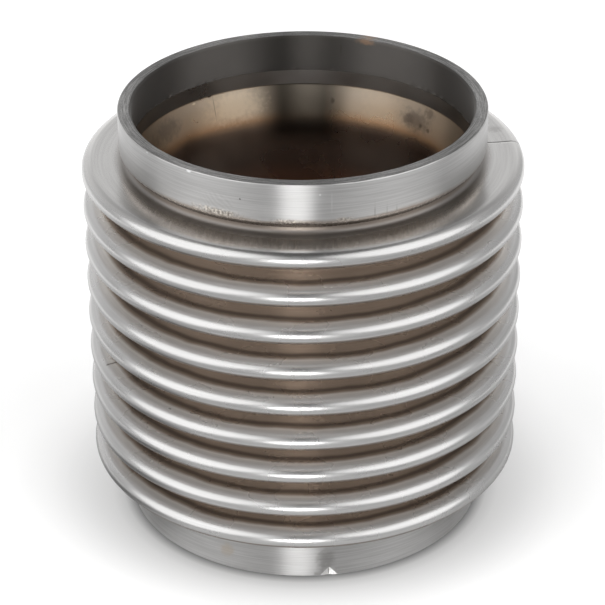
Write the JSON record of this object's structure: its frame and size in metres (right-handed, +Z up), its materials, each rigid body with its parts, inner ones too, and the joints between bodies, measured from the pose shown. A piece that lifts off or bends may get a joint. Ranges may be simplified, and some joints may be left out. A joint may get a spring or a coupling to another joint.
{
  "type": "exhaust flex pipe",
  "caption": "Round steel bellows between thick weld collars, with a necked-down sleeve inside, that lets an exhaust line flex and grow.",
  "frame": {"origin": "centre of the base, on the lower collar's bottom face", "axes": "+Z up the pipe's axis from the lower collar to the upper one; -Y faces the camera of the picture"},
  "size_m": [0.1532, 0.1532, 0.1524],
  "materials": {
    "collar_steel": "turned and lightly scratched",
    "bellows_steel": "satin, rolled, brown in the valleys",
    "sleeve_steel": "satin with straw and brown heat tint",
    "weld_steel": "brown heat-tinted weld"
  },
  "bodies": {
    "lower_end": {"lower_collar": "collar_steel", "lower_weld": "weld_steel", "bellows": "bellows_steel"},
    "upper_end": {"upper_collar": "collar_steel", "upper_weld": "weld_steel", "gas_sleeve": "sleeve_steel"}
  },
  "joints": [
    {"name": "axial_flex", "type": "slide", "parent": "lower_end", "child": "upper_end", "axis": [0, 0, 1], "range_m": [-0.012, 0.006], "stiffness_N_per_m": 25000, "deforming": ["bellows"]}
  ]
}
